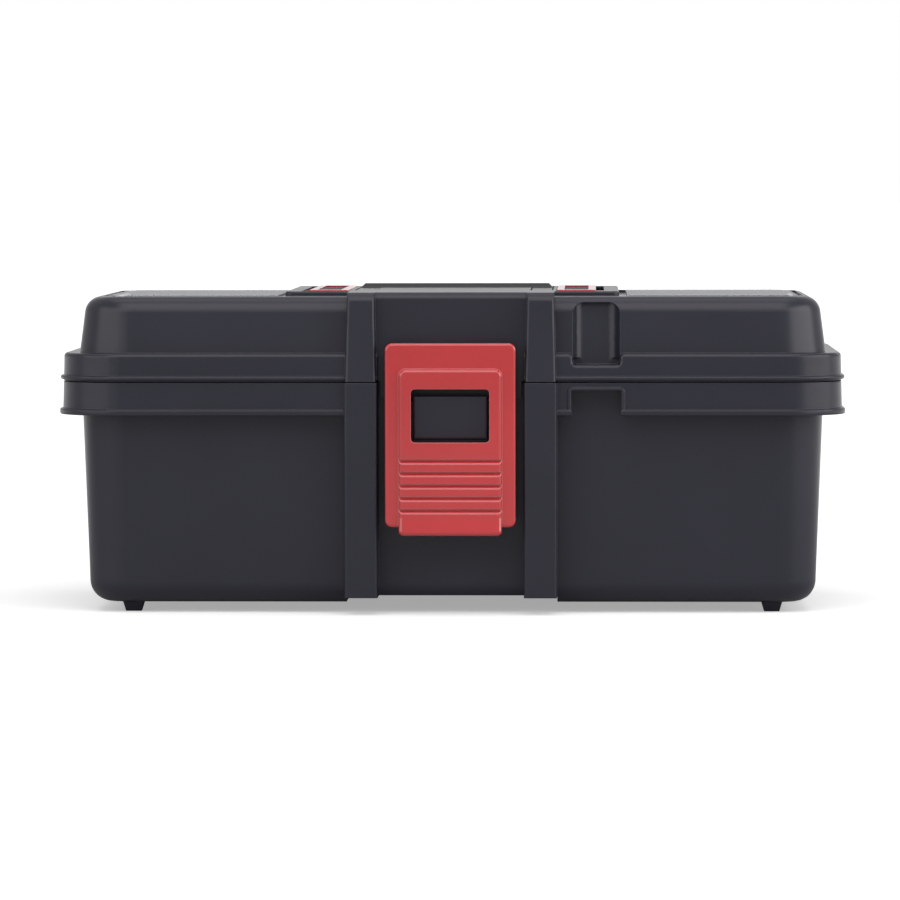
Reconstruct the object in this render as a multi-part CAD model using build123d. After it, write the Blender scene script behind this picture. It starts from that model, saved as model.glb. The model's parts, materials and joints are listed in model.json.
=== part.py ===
from build123d import *
import os
from math import radians, tan

# Lengths are in millimetres and angles in degrees.
# The front faces -Y, +X is to the right of someone facing the front, and the feet stand on Z = 0.

# Body of the box
LIP_WIDTH = 312.0            # across the lips of the base, left to right
LIP_DEPTH = 152.0            # across the same lips, front to back
FOOT_HEIGHT = 4.0
RIM_HEIGHT = 91.8            # top of the base rim above the floor
LID_HEIGHT = 33.2            # flat top of the lid above its lower edge
PARTING_GAP = 0.4            # between the base rim and the closed lid
WALL = 2.2                   # main walls of the base and the lid
FLANGE_WALL = 2.0
FLANGE_CORNER = 24.0         # plan corner of both flanges
FLANGE_DRAFT = 1.5
LIP_OUT = 1.2                # how far a lip stands out from its flange
LIP_ROUND = 0.7
BASE_FLANGE_HEIGHT = 13.0
BASE_LIP_HEIGHT = 2.4
LID_FLANGE_HEIGHT = 11.0
LID_LIP_HEIGHT = 1.7
LID_LIP_RAISE = 0.4          # the lid's lip above its lower edge
LID_INSET = 0.3              # the lid's flange lies this far inside the base's
LID_FLANGE_ROUND = 1.5

# Base tub
TUB_SIDE_OVERHANG = 8.4      # from a lip in to the tub wall, at the two ends
TUB_FRONT_OVERHANG = 9.8     # the same at the front and the back
TUB_CORNER = 18.0
TUB_DRAFT = 2.2
TUB_ROUND = 8.5              # bottom edge of the tub
ARCH_HEIGHT = 3.0            # raised strip under the middle of the tub
TONGUE_HEIGHT = 3.0          # dust lip that stands up inside the lid
TONGUE_WALL = 1.8
TONGUE_GAP = 0.7
FOOT_SPACING_X = 254.0
FOOT_SPACING_Y = 98.0
FOOT_TIP = 6.0
FOOT_ROOT = 9.0

# Front straps, two on the base and two on the lid
STRAP_INNER = 28.8           # from the middle to the inner side of a strap
STRAP_WIDTH = 13.1
STRAP_PROUD = 2.3            # beyond the lip at the rim
STRAP_LEAN = 2.3             # the base strap leans back this far at its foot
STRAP_LID_STEP = 0.4         # the lid strap is narrower than the base strap by this on each side
STRAP_LID_TAPER = 0.8        # and narrows by this on each side towards the top
STRAP_LID_LEAN = 4.5
STRAP_ROUND = 1.3
STRAP_CROWN = 4.0            # rounded top of a lid strap

# Recessed panel between the straps
PANEL_SETBACK = 6.6          # from the lip back to the lid's panel
PANEL_ROUND = 3.0
APRON_DROP = 6.2             # the panel reaches this far below the rim
APRON_WALL = 1.9
APRON_GAP = 0.8

# Lid dome
DOME_OVERHANG = 7.4
DOME_CORNER = 21.0
DOME_DRAFT = 7.5
DOME_ROUND = 6.9
PLATEAU_RISE = 1.8           # raised middle of the lid top
PLATEAU_HALF = 66.4
PLATEAU_FRONT = 50.0
PLATEAU_BACK = 56.0
PLATEAU_CORNER = 3.0
PLATEAU_ROUND = 0.8

# Rear hinges
HINGE_SPACING = 170.0
HINGE_RADIUS = 3.5
HINGE_GAP = 0.4              # knuckle to lip, and knuckle to knuckle
HINGE_LID_KNUCKLE = 18.0
HINGE_BASE_KNUCKLE = 11.6
HINGE_WEB_DROP = 9.4
HINGE_PIN_RADIUS = 2.0
PIN_FIT = 0.06               # radial clearance of every pin
PIN_HEAD_RADIUS = 2.9
PIN_HEAD = 1.4

# Front latch
LATCH_WIDTH = 51.4
LATCH_TOP = 107.5            # top edge of the latch above the floor
LATCH_LENGTH = 72.4
LATCH_PLATE = 3.0
LATCH_CORNER = 2.8
LATCH_PROUD = 3.5            # front of the plate beyond the lip
LATCH_RAISE = 2.0            # the raised middle stands this far in front of the plate
LATCH_RAISE_WIDTH = 40.6
LATCH_RAISE_DROP = 10.1      # from the top of the plate to the top of the raised middle
LATCH_TAIL = 3.2             # the raised middle reaches this far below the plate
LATCH_TAIL_HEIGHT = 7.0      # the flared foot of the raised middle
LATCH_TAIL_FLARE = 1.5
LATCH_TAIL_CORNER = 1.8
LATCH_EDGE_ROUND = 1.2
LATCH_RAISE_ROUND = 1.6
LATCH_PIVOT_DROP = 3.0
LATCH_PIVOT_BACK = 2.9       # pivot behind the back of the plate
LATCH_BARREL_RADIUS = 2.6
LATCH_BARREL_WIDTH = 30.4
LATCH_LUG_WIDTH = 4.0
LATCH_LUG_GAP = 0.4
LATCH_PIN_RADIUS = 1.4
WINDOW_WIDTH = 30.8
WINDOW_HEIGHT = 20.9
WINDOW_DROP = 18.0           # from the top of the plate
WINDOW_CORNER = 1.6
GROOVE_COUNT = 5
GROOVE_FIRST_DROP = 45.5     # from the top of the plate
GROOVE_PITCH = 4.88
GROOVE_HEIGHT = 2.0
GROOVE_FLAT = 0.6            # flat bottom of a groove, above its sloping lower side
GROOVE_DEPTH = 1.1

# Catch on the base, seen through the window of the latch
CATCH_SIDE_GAP = 0.7
CATCH_TOP_GAP = 2.7
CATCH_BOTTOM_GAP = 1.0
CATCH_CLEAR = 0.35           # the nose stays this far behind the swinging latch at its foot
CATCH_LEAN = 1.7             # the nose leans forward by this at its top
CATCH_ROUND = 0.9
SEAT_WIDTH = 40.0            # pedestal behind the nose, which stops the latch
SEAT_DROP = 7.0              # pedestal below the nose
SEAT_BEHIND = 2.6            # pedestal behind the back of the open-standing latch

# Padlock place, on the right only
PADLOCK_X = 57.3
PADLOCK_MOUTH = 18.4
PADLOCK_FLOOR = 15.0
PADLOCK_DEPTH = 3.6          # channel floor behind the dome's foot
PADLOCK_FLOOR_ROUND = 5.0
PADLOCK_TOP_CORNER = 4.4
PADLOCK_LEDGE_CORNER = 1.7   # corners of the gap in the lid's flange
PADLOCK_LEDGE = 6.6          # thickness of the lid's ledge
PADLOCK_TOP_LAND = 2.2       # lid top above the end of the channel
PADLOCK_SHELF = 3.2          # thickness of the base's shelf
PADLOCK_NOTCH = 19.4
PADLOCK_BEAD = 1.6
PADLOCK_BEAD_OUT = 0.9
PADLOCK_BEAD_CORNER = 2.0
PADLOCK_BEAD_ROUND = 0.7
PADLOCK_HOLE_RADIUS = 2.7
PADLOCK_HOLE_SETBACK = 5.1   # from the lip back to the hole's axis

# Organiser wells in the lid
WELL_INNER = 74.0            # from the middle to the inner wall of a well
WELL_END_LAND = 4.0          # from the outer wall of a well out to the hinge of its cover
WELL_DEPTH = 108.0
WELL_DROP = 20.6             # from the lid top to the floor of a well
WELL_CORNER = 4.0
WELL_CELLS = 3
PARTITION = 1.6
PARTITION_GAP = 0.8          # under the closed cover

# Clear covers
COVER_DEPTH = 115.0
COVER_THICK = 2.1
COVER_SINK = 1.8             # underside of a cover below the lid top
COVER_GAP = 0.3
COVER_CORNER = 3.0
COVER_EDGE_ROUND = 0.5
COVER_END_INSET = 19.0       # from the end of the lips in to the hinge of a cover
COVER_BARREL_RADIUS = 1.9
COVER_BARREL_LENGTH = 92.0
COVER_WEB = 2.8              # from the hinge axis in to the plate
COVER_LIP = 2.8              # thin inner edge that the slide lock holds
COVER_LIP_THICK = 0.9
COVER_RIB = 1.2
COVER_RIB_DROP = 1.4
COVER_PIN_RADIUS = 0.9
COVER_PIN_SEAT = 4.0         # each end of the pin in the lid
TROUGH_GAP = 0.9

# Slide locks of the covers
LOCK_HANDLE_GAP = 2.2        # from the side of the handle to the inner edge of a lock
LOCK_WIDTH = 15.6
LOCK_LENGTH = 90.0
LOCK_FRONT = 46.5            # front edge of a lock ahead of the middle
LOCK_PLATE = 1.2
LOCK_RISE = 0.5              # frame above the plateau
LOCK_TRAVEL = 3.0
LOCK_GAP = 0.25
LOCK_TONGUE = 54.0
LOCK_TONGUE_SETBACK = 0.4    # the open tongue ends this far inside the plateau
LOCK_TAB = 1.4               # the plate runs this far under the plateau at the front and the back
LOCK_CORNER = 0.9
LOCK_EDGE_ROUND = 0.4
LOCK_SIDE = 3.0              # frame beside the finger pad
LOCK_END = 6.0               # frame in front of and behind the finger pad
PAD_SINK = 1.3               # pad below the top of the frame
PAD_FIT = 0.05
PAD_RIBS = 14
PAD_RIB_WIDTH = 1.6
PAD_RIB_HEIGHT = 0.8

# Carrying handle
HANDLE_WIDTH = 78.8
HANDLE_ARM = 8.0
HANDLE_AXIS_FRONT = 20.0     # pivot ahead of the middle
HANDLE_REACH = 53.0          # from the pivot to the middle of the grip
HANDLE_AXIS_DROP = 8.2       # pivot below the plateau
HANDLE_HUB_RADIUS = 6.5
HANDLE_ARM_HEIGHT = 12.4
HANDLE_ARM_SINK = 0.2        # arms below the plateau
HANDLE_SWING_GAP = 0.6       # round the sweep of the arms' front ends
GRIP_DEPTH = 12.0
GRIP_HEIGHT = 13.4
GRIP_RISE = 1.6              # top of the grip above the plateau
GRIP_SHOULDER = 1.6          # sloped ends of the grip's top
GRIP_ROUND = 2.4
HANDLE_POCKET_GAP = 0.6
HANDLE_POCKET_DEPTH = 17.4
HANDLE_POCKET_FRONT = 6.0    # finger room in front of the grip
HANDLE_POCKET_BACK = 10.0    # and behind it
HANDLE_PIN_RADIUS = 2.0
HANDLE_PIN_SEAT = 6.0        # in the lid
HANDLE_PIN_GRIP = 6.0        # in the hub
HANDLE_BOSS = 5.0            # half width of the boss that holds a handle pin

# Lift-out tray
TRAY_SINK = 1.8              # top of the tray below the base rim
TRAY_GAP = 1.2               # tray flange to the tub wall
TRAY_FLANGE = 2.0
TRAY_END_FLANGE = 7.0
TRAY_SIDE_FLANGE = 3.5
TRAY_HEIGHT = 36.0
TRAY_WALL = 1.8
TRAY_DRAFT = 3.0
TRAY_ROUND = 2.6
TRAY_GRIP_RISE = 9.0         # hand grip above the tray's top
TRAY_GRIP_WIDTH = 96.0
TRAY_GRIP_CORNER = 7.0
TRAY_GRIP_BAR = 8.0
TRAY_SLOT_WIDTH = 74.0
TRAY_SLOT_HEIGHT = 20.0
TRAY_SLOT_CORNER = 5.0
TRAY_CROSS_X = 52.0          # cross walls of the front half
LEDGE_LENGTH = 60.0
LEDGE_OUT = 5.0
LEDGE_THICK = 2.0

# Places that follow from the sizes
LIP_FRONT = -LIP_DEPTH / 2
TUB_WIDTH = LIP_WIDTH - 2 * TUB_SIDE_OVERHANG
TUB_DEPTH = LIP_DEPTH - 2 * TUB_FRONT_OVERHANG
ARCH_Z = FOOT_HEIGHT + ARCH_HEIGHT
ARCH_HALF = STRAP_INNER + STRAP_WIDTH
BASE_FLANGE_Z = RIM_HEIGHT - BASE_FLANGE_HEIGHT
FLANGE_WIDTH = LIP_WIDTH - 2 * LIP_OUT
FLANGE_DEPTH = LIP_DEPTH - 2 * LIP_OUT
LID_Z = RIM_HEIGHT + PARTING_GAP
LID_SHELF_Z = LID_Z + LID_FLANGE_HEIGHT
LID_TOP_Z = LID_Z + LID_HEIGHT
PLATEAU_Z = LID_TOP_Z + PLATEAU_RISE
LID_FLANGE_WIDTH = FLANGE_WIDTH - 2 * LID_INSET
LID_FLANGE_DEPTH = FLANGE_DEPTH - 2 * LID_INSET
DOME_WIDTH = LIP_WIDTH - 2 * DOME_OVERHANG
DOME_DEPTH = LIP_DEPTH - 2 * DOME_OVERHANG
PANEL_Y = LIP_FRONT + PANEL_SETBACK
STRAP_Y = LIP_FRONT - STRAP_PROUD
STRAP_BACK = PANEL_Y + WALL + STRAP_ROUND
HINGE_Y = LIP_DEPTH / 2 - LID_INSET + HINGE_GAP + HINGE_RADIUS
HINGE_Z = RIM_HEIGHT + PARTING_GAP / 2
LATCH_FRONT = LIP_FRONT - LATCH_PROUD
LATCH_BACK = LATCH_FRONT + LATCH_PLATE
LATCH_AXIS_Y = LATCH_BACK + LATCH_PIVOT_BACK
LATCH_AXIS_Z = LATCH_TOP - LATCH_PIVOT_DROP
WINDOW_TOP = LATCH_TOP - WINDOW_DROP
WINDOW_BOTTOM = WINDOW_TOP - WINDOW_HEIGHT
COVER_AXIS = LIP_WIDTH / 2 - COVER_END_INSET
COVER_Z = LID_TOP_Z - COVER_SINK
COVER_SEAT_Z = COVER_Z - COVER_GAP
COVER_INNER = PLATEAU_HALF + COVER_GAP
COVER_PLATE_INNER = COVER_INNER + COVER_LIP
COVER_PLATE_OUTER = COVER_AXIS - COVER_WEB
WELL_WIDTH = COVER_AXIS - WELL_END_LAND - WELL_INNER
WELL_Z = LID_TOP_Z - WELL_DROP
LOCK_Z = COVER_Z + COVER_LIP_THICK + LOCK_GAP
LOCK_FLOOR_Z = LOCK_Z - LOCK_GAP
LOCK_TOP_Z = PLATEAU_Z + LOCK_RISE
LOCK_ROOF_Z = LOCK_Z + LOCK_PLATE + LOCK_GAP
LOCK_INNER = HANDLE_WIDTH / 2 + LOCK_HANDLE_GAP
LOCK_OUTER = LOCK_INNER + LOCK_WIDTH
LOCK_MID_Y = LOCK_LENGTH / 2 - LOCK_FRONT
PAD_WIDTH = LOCK_WIDTH - 2 * LOCK_SIDE
PAD_LENGTH = LOCK_LENGTH - 2 * LOCK_END
HANDLE_AXIS_Y = -HANDLE_AXIS_FRONT
HANDLE_AXIS_Z = PLATEAU_Z - HANDLE_AXIS_DROP
HANDLE_ARM_Z = PLATEAU_Z - HANDLE_ARM_SINK
GRIP_FRONT = HANDLE_AXIS_Y + HANDLE_REACH - GRIP_DEPTH / 2
GRIP_BACK = GRIP_FRONT + GRIP_DEPTH
HANDLE_POCKET_HALF = HANDLE_WIDTH / 2 + HANDLE_POCKET_GAP
HANDLE_POCKET_Z = PLATEAU_Z - HANDLE_POCKET_DEPTH
TRAY_Z = RIM_HEIGHT - TRAY_SINK
TRAY_SEAT_Z = TRAY_Z - TRAY_FLANGE
TRAY_WIDTH = TUB_WIDTH - 2 * WALL - 2 * TRAY_GAP
TRAY_DEPTH = TUB_DEPTH - 2 * WALL - 2 * TRAY_GAP
TRAY_CORNER = TUB_CORNER - WALL - TRAY_GAP
ABOVE = PLATEAU_Z + LIP_DEPTH
OUTSIDE = LIP_DEPTH


def block(x0, x1, y0, y1, z0, z1):
    """Box between pairs of coordinates."""
    return Pos((x0 + x1) / 2, (y0 + y1) / 2, (z0 + z1) / 2) * Box(x1 - x0, y1 - y0, z1 - z0)


def slab(width, depth, corner, z0, z1, draft=0.0):
    """Block with rounded corners in plan that narrows upwards by the draft."""
    return extrude(Plane.XY.offset(z0) * RectangleRounded(width, depth, corner), z1 - z0, taper=draft)


def sunk_slab(width, depth, corner, z1, z0, draft):
    """Block with rounded corners in plan that narrows downwards by the draft."""
    top = Plane((0, 0, z1), z_dir=(0, 0, -1))
    return extrude(top * RectangleRounded(width, depth, corner), z1 - z0, taper=draft)


def bead(width, depth, corner, z0, height):
    """Slab whose upper and lower edges are both rounded."""
    body = slab(width, depth, corner, z0, z0 + height)
    loops = body.edges().group_by(Axis.Z)
    return fillet(loops[0] + loops[-1], LIP_ROUND)


def rod_x(x0, x1, y, z, radius):
    return Pos((x0 + x1) / 2, y, z) * Rot(0, 90, 0) * Cylinder(radius, x1 - x0)


def rod_y(x, y0, y1, z, radius):
    return Pos(x, (y0 + y1) / 2, z) * Rot(90, 0, 0) * Cylinder(radius, y1 - y0)


def rod_z(x, y, z0, z1, radius):
    return Pos(x, y, (z0 + z1) / 2) * Cylinder(radius, z1 - z0)


def side_prism(points, x0, x1):
    """Outline in Y and Z, drawn out along X."""
    outline = make_face(Plane.YZ.offset(x0) * Polyline(*points, close=True))
    return extrude(outline, x1 - x0, dir=(1, 0, 0))


def plan_prism(points, z0, z1):
    """Outline in X and Y, drawn out along Z."""
    outline = make_face(Plane.XY.offset(z0) * Polyline(*points, close=True))
    return extrude(outline, z1 - z0, dir=(0, 0, 1))


def front_prism(points, y0, y1):
    """Outline in X and Z, drawn out along Y."""
    plane = Plane((0, y1, 0), x_dir=(1, 0, 0), z_dir=(0, -1, 0))
    return extrude(make_face(plane * Polyline(*points, close=True)), y1 - y0, dir=(0, -1, 0))


def front_plate(width, z0, z1, corner, back, front):
    """Plate facing the front, with rounded corners."""
    plane = Plane((0, back, (z0 + z1) / 2), x_dir=(1, 0, 0), z_dir=(0, -1, 0))
    return extrude(plane * RectangleRounded(width, z1 - z0, corner), back - front)


def other_side(shape):
    return mirror(shape, about=Plane.YZ)


def both_sides(shape):
    return shape + other_side(shape)


def post(low, high, z0, z1):
    """Upright of rectangular plan, from one plan (x0, x1, y0, y1) to another."""
    ends = []
    for plan, z in ((low, z0), (high, z1)):
        x0, x1, y0, y1 = plan
        outline = RectangleRounded(x1 - x0, y1 - y0, STRAP_ROUND)
        ends.append(Plane((0, 0, z)) * Pos((x0 + x1) / 2, (y0 + y1) / 2) * outline)
    return loft(ends, ruled=True)


def inset(plan, amount):
    x0, x1, y0, y1 = plan
    return (x0 + amount, x1 - amount, y0 + amount, y1)


def base_strap(amount, z0, z1):
    """Right-hand strap of the base, drawn in by an amount for its hollow."""
    outer = STRAP_INNER + STRAP_WIDTH
    back = -TUB_DEPTH / 2 + TUB_ROUND + WALL
    low = (STRAP_INNER, outer, STRAP_Y + STRAP_LEAN, back)
    high = (STRAP_INNER, outer, STRAP_Y, back)
    return post(inset(low, amount), inset(high, amount), z0, z1)


def lid_strap(amount, z0, z1):
    """Right-hand strap of the lid, drawn in by an amount for its hollow."""
    inner = STRAP_INNER + STRAP_LID_STEP
    outer = STRAP_INNER + STRAP_WIDTH - STRAP_LID_STEP
    low = (inner, outer, STRAP_Y, STRAP_BACK)
    high = (inner + STRAP_LID_TAPER, outer - STRAP_LID_TAPER, STRAP_Y + STRAP_LID_LEAN, STRAP_BACK)
    return post(inset(low, amount), inset(high, amount), z0, z1)


def strap_crown():
    """Profile of a lid strap, rounded over at its top."""
    points = [
        (STRAP_Y, LID_Z),
        (STRAP_BACK, LID_Z),
        (STRAP_BACK, PLATEAU_Z),
        (STRAP_Y + STRAP_LID_LEAN, PLATEAU_Z),
    ]
    outline = make_face(Plane.YZ * Polyline(*points, close=True))
    outline = fillet(outline.vertices().group_by(Axis.Z)[-1].sort_by(Axis.Y)[0], STRAP_CROWN)
    return extrude(outline, LIP_WIDTH / 2, dir=(1, 0, 0))


def padlock_channel(grow):
    """Channel in the front of the lid that leans back with it, grown by a wall for the skin behind it."""
    mouth = PADLOCK_MOUTH / 2 + grow
    floor = PADLOCK_FLOOR / 2 + grow
    foot = -DOME_DEPTH / 2
    z0 = LID_Z + PADLOCK_LEDGE - grow
    z1 = LID_TOP_Z - PADLOCK_TOP_LAND + grow
    ends = []
    for z, lean in ((z0, 0), (z1, (z1 - z0) * tan(radians(DOME_DRAFT)))):
        back = foot + PADLOCK_DEPTH + grow + lean
        points = [
            (-mouth, -OUTSIDE),
            (mouth, -OUTSIDE),
            (mouth, foot + lean),
            (floor, back),
            (-floor, back),
            (-mouth, foot + lean),
        ]
        outline = make_face(Polyline(*points, close=True))
        outline = fillet(outline.vertices().group_by(Axis.Y)[-1], PADLOCK_FLOOR_ROUND + grow)
        ends.append(Plane((PADLOCK_X, 0, z)) * outline)
    corner = PADLOCK_TOP_CORNER + grow
    front = Pos(PADLOCK_X, 0, 0) * front_plate(2 * mouth, z0 - 2 * corner, z1, corner, 0, -OUTSIDE)
    return loft(ends, ruled=True) & front


def padlock_notch(grow, front):
    """Notch under the base's rim for a padlock, grown by the bead round it."""
    width = PADLOCK_NOTCH + 2 * grow
    top = RIM_HEIGHT - PADLOCK_SHELF + grow
    corner = PADLOCK_BEAD_CORNER - PADLOCK_BEAD + grow
    return Pos(PADLOCK_X, 0, 0) * front_plate(width, 0, top, corner, 0, front)


def padlock_hole(z0, z1):
    return rod_z(PADLOCK_X, LIP_FRONT + PADLOCK_HOLE_SETBACK, z0, z1, PADLOCK_HOLE_RADIUS)


def hinge_places():
    return (-HINGE_SPACING / 2, HINGE_SPACING / 2)


def hinge_knuckle(x0, x1, up):
    """Knuckle with the web that ties it to a flange above (up = 1) or below (up = -1)."""
    root = HINGE_Y - HINGE_RADIUS - LIP_OUT - WALL
    near = HINGE_Z + up * PARTING_GAP
    far = HINGE_Z + up * HINGE_WEB_DROP
    lean = HINGE_RADIUS / 2
    points = [
        (root, near),
        (HINGE_Y, near),
        (HINGE_Y + HINGE_RADIUS - PARTING_GAP, HINGE_Z + up * lean),
        (root, far),
    ]
    return rod_x(x0, x1, HINGE_Y, HINGE_Z, HINGE_RADIUS) + side_prism(points, x0, x1)


def make_base_tub():
    tub = sunk_slab(TUB_WIDTH, TUB_DEPTH, TUB_CORNER, RIM_HEIGHT, FOOT_HEIGHT, TUB_DRAFT)
    tub = fillet(tub.edges().group_by(Axis.Z)[0], TUB_ROUND)

    flange = slab(FLANGE_WIDTH, FLANGE_DEPTH, FLANGE_CORNER, BASE_FLANGE_Z, RIM_HEIGHT, FLANGE_DRAFT)
    flange += bead(LIP_WIDTH, LIP_DEPTH, FLANGE_CORNER + LIP_OUT, BASE_FLANGE_Z, BASE_LIP_HEIGHT)
    under = slab(
        FLANGE_WIDTH - 2 * FLANGE_WALL,
        FLANGE_DEPTH - 2 * FLANGE_WALL,
        FLANGE_CORNER - FLANGE_WALL,
        BASE_FLANGE_Z,
        RIM_HEIGHT - FLANGE_WALL,
        FLANGE_DRAFT,
    )

    skin = PADLOCK_NOTCH / 2 + WALL
    under -= block(PADLOCK_X - skin, PADLOCK_X + skin, -OUTSIDE, 0, 0, ABOVE)
    flange -= under
    frame = padlock_notch(PADLOCK_BEAD, LIP_FRONT + LIP_OUT - PADLOCK_BEAD_OUT)
    frame -= block(-LIP_WIDTH, LIP_WIDTH, -OUTSIDE, OUTSIDE, 0, BASE_FLANGE_Z)
    notch = padlock_notch(0, -OUTSIDE)
    frame -= notch
    frame = fillet(frame.faces().sort_by(Axis.Y)[0].edges(), PADLOCK_BEAD_ROUND)
    flange = flange - notch + frame
    flange -= block(-STRAP_INNER, STRAP_INNER, -OUTSIDE, 0, 0, ABOVE)

    tongue_width = LID_FLANGE_WIDTH - 2 * FLANGE_WALL - 2 * TONGUE_GAP
    tongue_depth = LID_FLANGE_DEPTH - 2 * FLANGE_WALL - 2 * TONGUE_GAP
    tongue_corner = FLANGE_CORNER - FLANGE_WALL - TONGUE_GAP
    tongue_top = RIM_HEIGHT + TONGUE_HEIGHT
    tongue = slab(tongue_width, tongue_depth, tongue_corner, RIM_HEIGHT - FLANGE_WALL, tongue_top)
    tongue -= slab(
        tongue_width - 2 * TONGUE_WALL,
        tongue_depth - 2 * TONGUE_WALL,
        tongue_corner - TONGUE_WALL,
        RIM_HEIGHT - FLANGE_WALL,
        tongue_top,
    )
    tongue_left = -ARCH_HALF - FLANGE_WALL
    tongue_right = PADLOCK_X + PADLOCK_MOUTH / 2 + 2 * WALL
    tongue -= block(tongue_left, tongue_right, -OUTSIDE, 0, 0, ABOVE)

    body = tub + flange + tongue + both_sides(base_strap(0, ARCH_Z, RIM_HEIGHT))

    nose_half = WINDOW_WIDTH / 2 - CATCH_SIDE_GAP
    nose_top = WINDOW_TOP - CATCH_TOP_GAP
    nose_bottom = WINDOW_BOTTOM + CATCH_BOTTOM_GAP
    nose_foot = LATCH_BACK + CATCH_CLEAR
    seat_y = LATCH_BACK + SEAT_BEHIND
    seat_top = RIM_HEIGHT - APRON_DROP - APRON_GAP
    seat_bottom = nose_bottom - SEAT_DROP
    nose_points = [
        (-TUB_DEPTH / 2 + WALL, nose_bottom),
        (nose_foot, nose_bottom),
        (nose_foot - CATCH_LEAN, nose_top),
        (seat_y, nose_top),
        (seat_y, seat_top),
        (-TUB_DEPTH / 2 + WALL, seat_top),
    ]
    nose = side_prism(nose_points, -nose_half, nose_half)
    front_faces = nose.faces().sort_by(Axis.Y)[0]
    nose = fillet(front_faces.edges(), CATCH_ROUND)
    body += nose
    body += block(-SEAT_WIDTH / 2, SEAT_WIDTH / 2, seat_y, -TUB_DEPTH / 2 + WALL, seat_bottom, seat_top)

    cavity = sunk_slab(
        TUB_WIDTH - 2 * WALL,
        TUB_DEPTH - 2 * WALL,
        TUB_CORNER - WALL,
        RIM_HEIGHT,
        FOOT_HEIGHT + WALL,
        TUB_DRAFT,
    )
    cavity = fillet(cavity.edges().group_by(Axis.Z)[0], TUB_ROUND - WALL)
    cavity -= block(-ARCH_HALF - WALL, ARCH_HALF + WALL, -OUTSIDE, OUTSIDE, 0, ARCH_Z + WALL)
    body -= cavity
    body -= block(-ARCH_HALF, ARCH_HALF, -OUTSIDE, OUTSIDE, 0, ARCH_Z)
    body -= both_sides(base_strap(WALL, ARCH_Z + WALL, RIM_HEIGHT - WALL))
    body -= block(
        WALL - SEAT_WIDTH / 2,
        SEAT_WIDTH / 2 - WALL,
        seat_y + WALL,
        -TUB_DEPTH / 2 + WALL + TUB_ROUND,
        seat_bottom + WALL,
        seat_top - WALL,
    )

    ledge_x = TUB_WIDTH / 2 - WALL - LEDGE_OUT
    ledge_points = [
        (ledge_x, TRAY_SEAT_Z),
        (ledge_x + LEDGE_OUT + WALL / 2, TRAY_SEAT_Z),
        (ledge_x + LEDGE_OUT + WALL / 2, TRAY_SEAT_Z - LEDGE_THICK - LEDGE_OUT - WALL / 2),
        (ledge_x, TRAY_SEAT_Z - LEDGE_THICK),
    ]
    body += both_sides(front_prism(ledge_points, -LEDGE_LENGTH / 2, LEDGE_LENGTH / 2))

    foot_top = FOOT_HEIGHT + WALL / 2
    for x in (-FOOT_SPACING_X / 2, FOOT_SPACING_X / 2):
        for y in (-FOOT_SPACING_Y / 2, FOOT_SPACING_Y / 2):
            tip = Pos(x, y, 0) * Rectangle(FOOT_TIP, FOOT_TIP)
            root = Pos(x, y, foot_top) * Rectangle(FOOT_ROOT, FOOT_ROOT)
            body += loft([tip, root], ruled=True)

    first = HINGE_LID_KNUCKLE / 2 + HINGE_GAP
    for x in hinge_places():
        for side in (-1, 1):
            ends = sorted((x + side * first, x + side * (first + HINGE_BASE_KNUCKLE)))
            body += hinge_knuckle(ends[0], ends[1], -1)
    body -= rod_x(-LIP_WIDTH / 2, LIP_WIDTH / 2, HINGE_Y, HINGE_Z, HINGE_PIN_RADIUS + PIN_FIT)
    return body - padlock_hole(0, ABOVE)


def cover_well(grow):
    """Right-hand organiser well, grown by a wall for the skin round it."""
    shape = slab(
        WELL_WIDTH + 2 * grow, WELL_DEPTH + 2 * grow, WELL_CORNER + grow, WELL_Z - grow, ABOVE
    )
    return Pos(WELL_INNER + WELL_WIDTH / 2, 0, 0) * shape


def cover_recess(grow):
    """Shallow seat of the right-hand cover."""
    half = COVER_DEPTH / 2 + COVER_GAP + grow
    outer = COVER_PLATE_OUTER + TROUGH_GAP
    return block(PLATEAU_HALF - grow, outer + grow, -half, half, COVER_SEAT_Z - grow, ABOVE)


def cover_trough(grow):
    """Trough for the hinge barrel of the right-hand cover."""
    reach = COVER_BARREL_RADIUS + TROUGH_GAP + grow
    half = COVER_BARREL_LENGTH / 2 + TROUGH_GAP + grow
    return block(COVER_AXIS - reach, COVER_AXIS + reach, -half, half, COVER_Z - reach, ABOVE)


def lock_pocket(grow):
    """Pocket of the right-hand slide lock, with its undercut rails and the tunnel of its tongue."""
    inner = LOCK_INNER - LOCK_GAP - grow
    outer = LOCK_OUTER + LOCK_TRAVEL + LOCK_GAP + grow
    half = LOCK_LENGTH / 2 + LOCK_GAP + grow
    rail = half + LOCK_TAB
    slot = LOCK_TONGUE / 2 + LOCK_GAP + grow
    floor = LOCK_FLOOR_Z - grow
    shape = block(inner, outer, LOCK_MID_Y - half, LOCK_MID_Y + half, floor, ABOVE)
    shape += block(inner, outer, LOCK_MID_Y - rail, LOCK_MID_Y + rail, floor, LOCK_ROOF_Z)
    reach = PLATEAU_HALF + LOCK_GAP
    return shape + block(inner, reach, LOCK_MID_Y - slot, LOCK_MID_Y + slot, floor, LOCK_ROOF_Z)


def handle_pocket(grow):
    """Slots of the folded handle's arms and the well of its grip."""
    outer = HANDLE_WIDTH / 2 + HANDLE_POCKET_GAP + grow
    inner = HANDLE_WIDTH / 2 - HANDLE_ARM - HANDLE_POCKET_GAP - grow
    sweep = HANDLE_ARM_Z - HANDLE_AXIS_Z + HANDLE_SWING_GAP
    front = HANDLE_AXIS_Y - sweep - grow
    well_front = GRIP_FRONT - HANDLE_POCKET_FRONT - grow
    well_back = GRIP_BACK + HANDLE_POCKET_BACK + grow
    floor = HANDLE_POCKET_Z - grow
    arms = both_sides(block(inner, outer, front, well_back, floor, ABOVE))
    return arms + block(-outer, outer, well_front, well_back, floor, ABOVE)


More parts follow.
